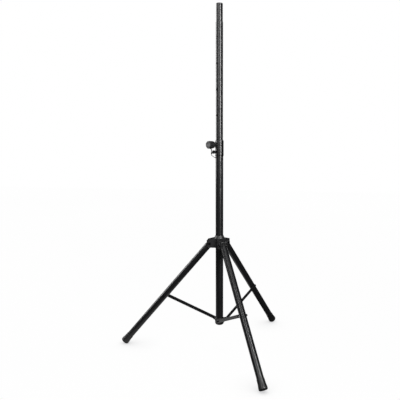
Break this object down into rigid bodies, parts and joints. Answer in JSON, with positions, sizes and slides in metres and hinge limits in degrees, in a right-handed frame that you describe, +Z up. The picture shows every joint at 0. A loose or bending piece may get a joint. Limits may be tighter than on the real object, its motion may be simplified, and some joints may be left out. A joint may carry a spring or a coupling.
{
  "type": "speaker stand",
  "caption": "Folding tripod speaker stand with a telescoping spigot-topped pole, sliding leg hub, braced legs, clamp knobs and a tethered locking pin.",
  "frame": {"origin": "column axis at floor level, under the centre of the tripod", "axes": "+Z up along the column, -X towards the left leg, -Y towards the front"},
  "size_m": [0.8648, 0.9916, 1.8722],
  "materials": {
    "black_paint": "satin black powder coat",
    "black_nylon": "moulded black nylon, fine texture",
    "black_rubber": "matt black rubber",
    "black_fasteners": "black zinc plated",
    "bright_steel": "bright zinc plated",
    "brass": "as machined",
    "grey_plastic": "dark grey moulded"
  },
  "bodies": {
    "column": {"lower_tube": "black_paint", "collar": "black_nylon", "collar_bush": "black_nylon", "collar_screws": "black_fasteners", "clamp_insert": "brass", "clamp_pad": "black_nylon", "pin_bush": "black_fasteners", "tether_cable": "black_fasteners", "tether_anchor": "black_fasteners", "base_bracket": "black_nylon", "base_rivets": "black_fasteners", "brace_pivot_bolts": "black_fasteners", "brace_pivot_nuts": "black_fasteners"},
    "pole_guide": {"pole_guide": "black_nylon"},
    "pole": {"pole_tube": "black_paint", "spigot_tube": "black_paint", "shoulder_ring": "black_nylon", "spigot_cap": "black_nylon"},
    "clamp_knob": {"clamp_knob": "black_nylon", "clamp_screw": "bright_steel", "clamp_knob_disc": "grey_plastic"},
    "locking_pin": {"locking_pin": "bright_steel", "pin_head": "black_nylon", "pin_ring": "black_fasteners", "tether_crimp": "black_fasteners"},
    "hub": {"hub": "black_nylon", "hub_liner": "black_nylon", "hub_insert": "brass", "hub_pad": "black_nylon", "leg_pivot_bolts": "black_fasteners", "leg_pivot_nuts": "black_fasteners"},
    "hub_knob": {"hub_knob": "black_nylon", "hub_lock_screw": "bright_steel"},
    "leg_left": {"leg_tube_left": "black_paint", "leg_fitting_left": "black_nylon", "rubber_foot_left": "black_rubber", "brace_bolt_left": "black_fasteners", "bolt_washer_left": "black_fasteners", "brace_spacer_left": "black_nylon"},
    "brace_left": {"brace_left": "black_paint", "brace_rivet_left": "black_fasteners"},
    "leg_front": {"leg_tube_front": "black_paint", "leg_fitting_front": "black_nylon", "rubber_foot_front": "black_rubber", "brace_bolt_front": "black_fasteners", "bolt_washer_front": "black_fasteners", "brace_spacer_front": "black_nylon"},
    "brace_front": {"brace_front": "black_paint", "brace_rivet_front": "black_fasteners"},
    "leg_rear": {"leg_tube_rear": "black_paint", "leg_fitting_rear": "black_nylon", "rubber_foot_rear": "black_rubber", "brace_bolt_rear": "black_fasteners", "bolt_washer_rear": "black_fasteners", "brace_spacer_rear": "black_nylon"},
    "brace_rear": {"brace_rear": "black_paint", "brace_rivet_rear": "black_fasteners"}
  },
  "joints": [
    {"name": "hub_slide", "type": "slide", "parent": "column", "child": "hub", "axis": [0, 0, 1], "range_m": [0, 0.2791]},
    {"name": "leg_left_swing", "type": "hinge", "parent": "hub", "child": "leg_left", "pos_m": [-0.051, 0, 0.606], "axis": [0, -1, 0], "range_deg": [-0.05, 38.75]},
    {"name": "brace_left_swing", "type": "hinge", "parent": "column", "child": "brace_left", "pos_m": [-0.031, 0.024, 0.171], "axis": [0, 1, 0], "range_deg": [-0.05, 60.65]},
    {"name": "leg_front_swing", "type": "hinge", "parent": "hub", "child": "leg_front", "pos_m": [0.0255, -0.04417, 0.606], "axis": [0.866, 0.5, 0], "range_deg": [-0.05, 38.75]},
    {"name": "brace_front_swing", "type": "hinge", "parent": "column", "child": "brace_front", "pos_m": [-0.00528, -0.03885, 0.171], "axis": [-0.866, -0.5, 0], "range_deg": [-0.05, 60.65]},
    {"name": "leg_rear_swing", "type": "hinge", "parent": "hub", "child": "leg_rear", "pos_m": [0.0255, 0.04417, 0.606], "axis": [-0.866, 0.5, 0], "range_deg": [-0.05, 38.75]},
    {"name": "brace_rear_swing", "type": "hinge", "parent": "column", "child": "brace_rear", "pos_m": [0.03628, 0.01485, 0.171], "axis": [0.866, -0.5, 0], "range_deg": [-0.05, 60.65]},
    {"name": "pole_slide", "type": "slide", "parent": "column", "child": "pole_guide", "axis": [0, 0, 1], "range_m": [-0.5958, 0.1342]},
    {"name": "pole_turn", "type": "hinge", "parent": "pole_guide", "child": "pole", "pos_m": [0, 0, 0.8582], "axis": [0, 0, 1], "continuous": true},
    {"name": "clamp_knob_turn", "type": "hinge", "parent": "column", "child": "clamp_knob", "pos_m": [0, 0, 1.1435], "axis": [-0.6428, -0.766, 0], "range_deg": [0, 540]},
    {"name": "hub_knob_turn", "type": "hinge", "parent": "hub", "child": "hub_knob", "pos_m": [0, 0, 0.6], "axis": [-0.5, 0.866, 0], "range_deg": [0, 540]},
    {"name": "pin_slide", "type": "slide", "parent": "column", "child": "locking_pin", "axis": [0.6428, 0.766, 0], "range_m": [-0.025, 0.0078], "deforming": ["tether_cable"]}
  ],
  "couplings": [
    {"joint": "leg_left_swing", "follows": "hub_slide", "rad_per_m": 2.4201},
    {"joint": "brace_left_swing", "follows": "hub_slide", "rad_per_m": 3.7893},
    {"joint": "leg_front_swing", "follows": "hub_slide", "rad_per_m": 2.4201},
    {"joint": "brace_front_swing", "follows": "hub_slide", "rad_per_m": 3.7893},
    {"joint": "leg_rear_swing", "follows": "hub_slide", "rad_per_m": 2.4201},
    {"joint": "brace_rear_swing", "follows": "hub_slide", "rad_per_m": 3.7893}
  ]
}
